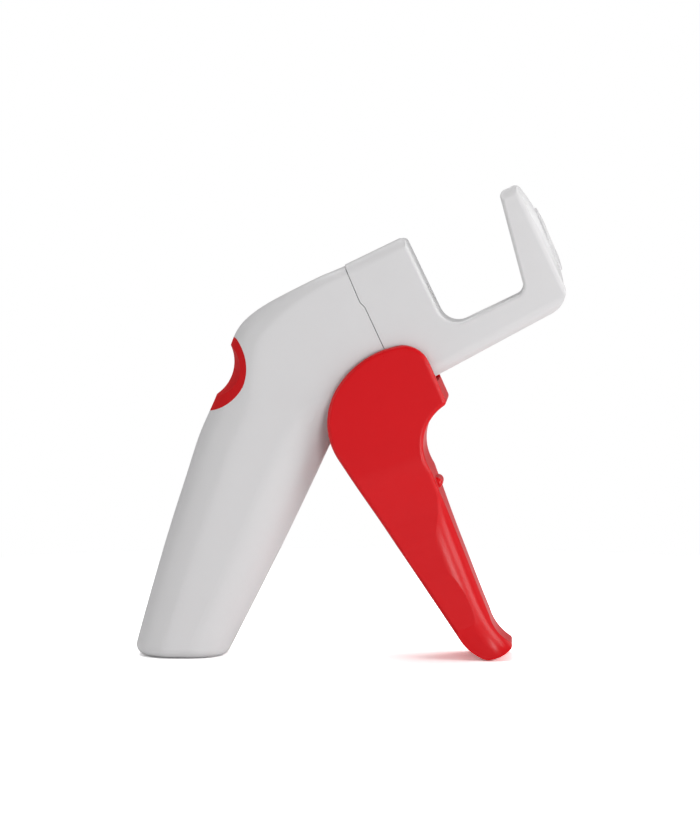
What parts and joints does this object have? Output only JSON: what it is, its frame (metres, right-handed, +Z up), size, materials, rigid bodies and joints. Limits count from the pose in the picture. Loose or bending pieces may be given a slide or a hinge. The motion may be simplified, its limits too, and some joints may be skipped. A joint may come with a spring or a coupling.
{
  "type": "cherry pitter with lever",
  "caption": "Hand-held cherry pitter: a curved handle carries a cradle head, and a squeeze lever drives a rod through the cherry in the cradle.",
  "frame": {"origin": "on the table, under the middle of the tool's bounding box, as it stands on its handle and its lever", "axes": "+X towards the side the head points to, +Y from the near side to the far side, +Z up"},
  "size_m": [0.1289, 0.0352, 0.1411],
  "materials": {
    "body_white": "satin",
    "lever_red": "gloss",
    "pad_red": "matte",
    "slide_plastic": "matte",
    "rod_steel": "polished",
    "spring_steel": "drawn wire",
    "screw_steel": "satin"
  },
  "bodies": {
    "housing": {"body_shell_near": "body_white", "body_shell_far": "body_white", "hand_rest_pad": "pad_red", "shell_screws": "screw_steel", "cradle_head": "body_white", "head_catch": "body_white", "rod_guide_bush": "slide_plastic"},
    "lever": {"lever": "lever_red", "drive_fork": "lever_red", "pivot_pin": "rod_steel", "drive_pin": "rod_steel", "return_spring": "spring_steel"},
    "plunger": {"plunger_slider": "slide_plastic", "plunger_rod": "rod_steel"}
  },
  "joints": [
    {"name": "lever_pivot", "type": "hinge", "parent": "housing", "child": "lever", "pos_m": [0.0159, 0, 0.0725], "axis": [0, 1, 0], "range_deg": [0, 52], "stiffness_Nm_per_rad": 0.05, "springref_deg": -40.11, "deforming": ["return_spring"]},
    {"name": "plunger_slide", "type": "slide", "parent": "housing", "child": "plunger", "axis": [0.9007, 0, 0.4344], "range_m": [0, 0.031]}
  ],
  "couplings": [
    {"joint": "plunger_slide", "follows": "lever_pivot", "m_per_rad": 0.03415}
  ]
}
